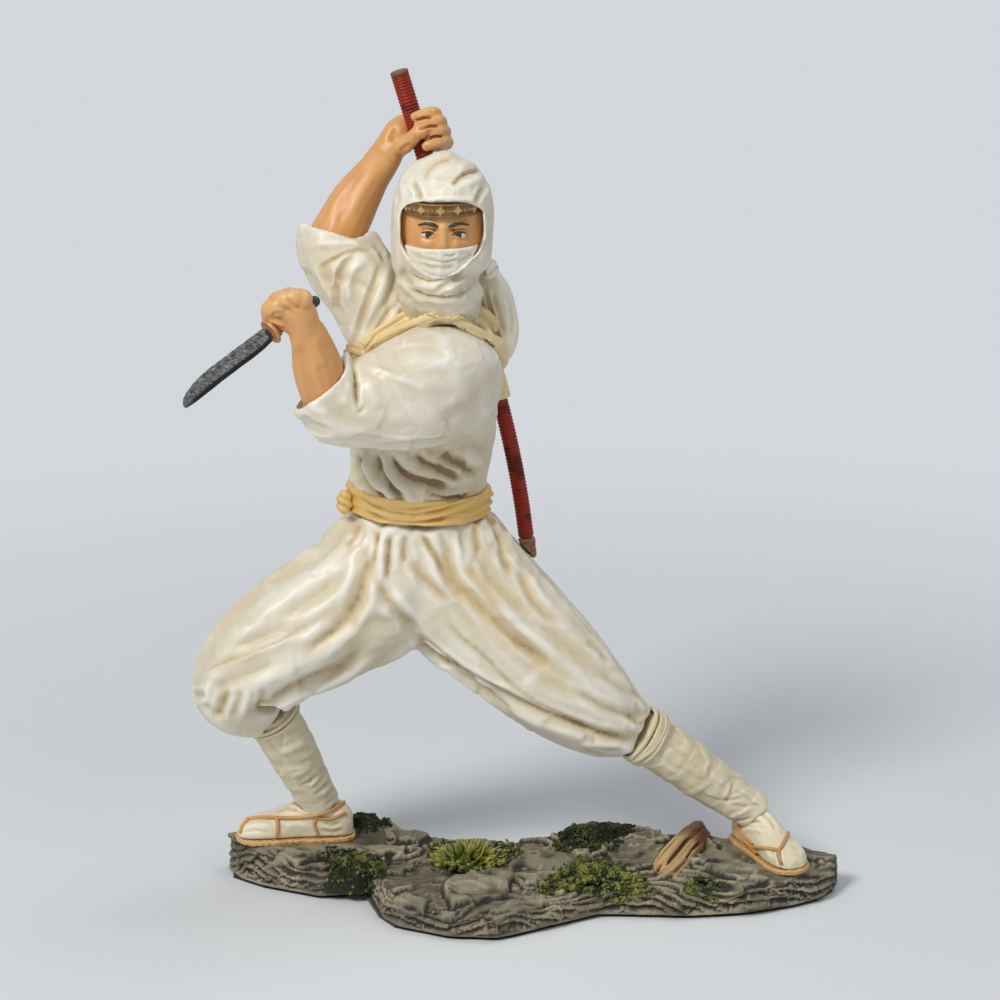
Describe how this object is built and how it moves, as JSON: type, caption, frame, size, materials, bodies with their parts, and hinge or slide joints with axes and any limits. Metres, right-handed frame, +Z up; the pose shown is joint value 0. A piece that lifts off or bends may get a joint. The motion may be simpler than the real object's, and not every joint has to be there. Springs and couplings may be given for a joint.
{
  "type": "ninja figurine",
  "caption": "Painted cast figurine of a white-clad ninja in a deep side lunge on a rock base, one hand on a back-slung sword, the other holding a dagger.",
  "frame": {"origin": "below the middle of the rock base, on the underside of the felt", "axes": "+Z up, the figure faces -Y, +X is the viewer's right when it is seen from the front"},
  "size_m": [0.1888, 0.0689, 0.2432],
  "materials": {
    "felt": "black felt sheet",
    "rock_paint": "painted cast stone resin, dry-brushed edges",
    "moss_paint": "matte moss green paint over rough cast resin",
    "leaf_paint": "leaf green paint, lighter tips",
    "wood_paint": "tan and brown painted resin",
    "steel": "plain steel",
    "straw_paint": "tan straw-coloured paint",
    "cord_paint": "ochre paint",
    "wrap_paint": "off-white paint, brown wash in the folds",
    "white_cloth_paint": "off-white satin paint, brown wash in the folds",
    "hood_paint": "off-white satin paint, grey-brown wash",
    "gold_cloth_paint": "golden ochre paint, brown wash in the grooves",
    "strap_paint": "pale ochre paint",
    "skin_paint": "warm skin-tone satin paint",
    "bronze_paint": "bronze paint",
    "red_cord_paint": "dark red paint, satin",
    "dark_metal_paint": "dark metallic paint",
    "brown_paint": "brown paint",
    "black_paint": "black paint",
    "copper_paint": "copper and gold paint",
    "blade_paint": "dark steel paint with bright edges"
  },
  "bodies": {
    "root": {"felt_pad": "felt", "rock_base": "rock_paint", "moss_left": "moss_paint", "moss_right": "moss_paint", "moss_small": "moss_paint", "moss_back_left": "moss_paint", "moss_back_right": "moss_paint", "leafy_clump": "leaf_paint", "driftwood": "wood_paint", "foot_pin_right": "steel", "foot_pin_left": "steel", "sandal_right": "straw_paint", "sandal_left": "straw_paint", "tabi_right": "wrap_paint", "tabi_left": "wrap_paint", "sandal_cords_right": "cord_paint", "sandal_cords_left": "cord_paint", "shin_wrap_right": "wrap_paint", "shin_wrap_left": "wrap_paint", "knee_tie_right": "wrap_paint", "knee_tie_left": "wrap_paint", "trouser_leg_right": "white_cloth_paint", "trouser_leg_left": "white_cloth_paint", "waist_pin": "steel", "jacket": "white_cloth_paint", "sash": "gold_cloth_paint", "sash_knot": "gold_cloth_paint", "sleeve_right": "white_cloth_paint", "sleeve_left": "white_cloth_paint", "forearm_right": "skin_paint", "forearm_left": "skin_paint", "hand_right": "skin_paint", "hand_left": "skin_paint", "strap": "strap_paint", "strap_knot": "strap_paint", "neck_pin": "steel", "head": "skin_paint", "face_mask": "hood_paint", "headband": "bronze_paint", "headband_rosettes": "bronze_paint", "hood": "hood_paint", "hood_knot": "hood_paint", "hood_tail": "hood_paint", "sword_wire": "steel", "sword_hilt": "red_cord_paint", "sword_guard": "dark_metal_paint", "scabbard": "red_cord_paint", "scabbard_cap": "brown_paint", "scabbard_keeper": "brown_paint", "scabbard_tie": "strap_paint", "dagger_grip": "black_paint", "dagger_guard": "copper_paint", "dagger_blade": "blade_paint"}
  },
  "joints": []
}
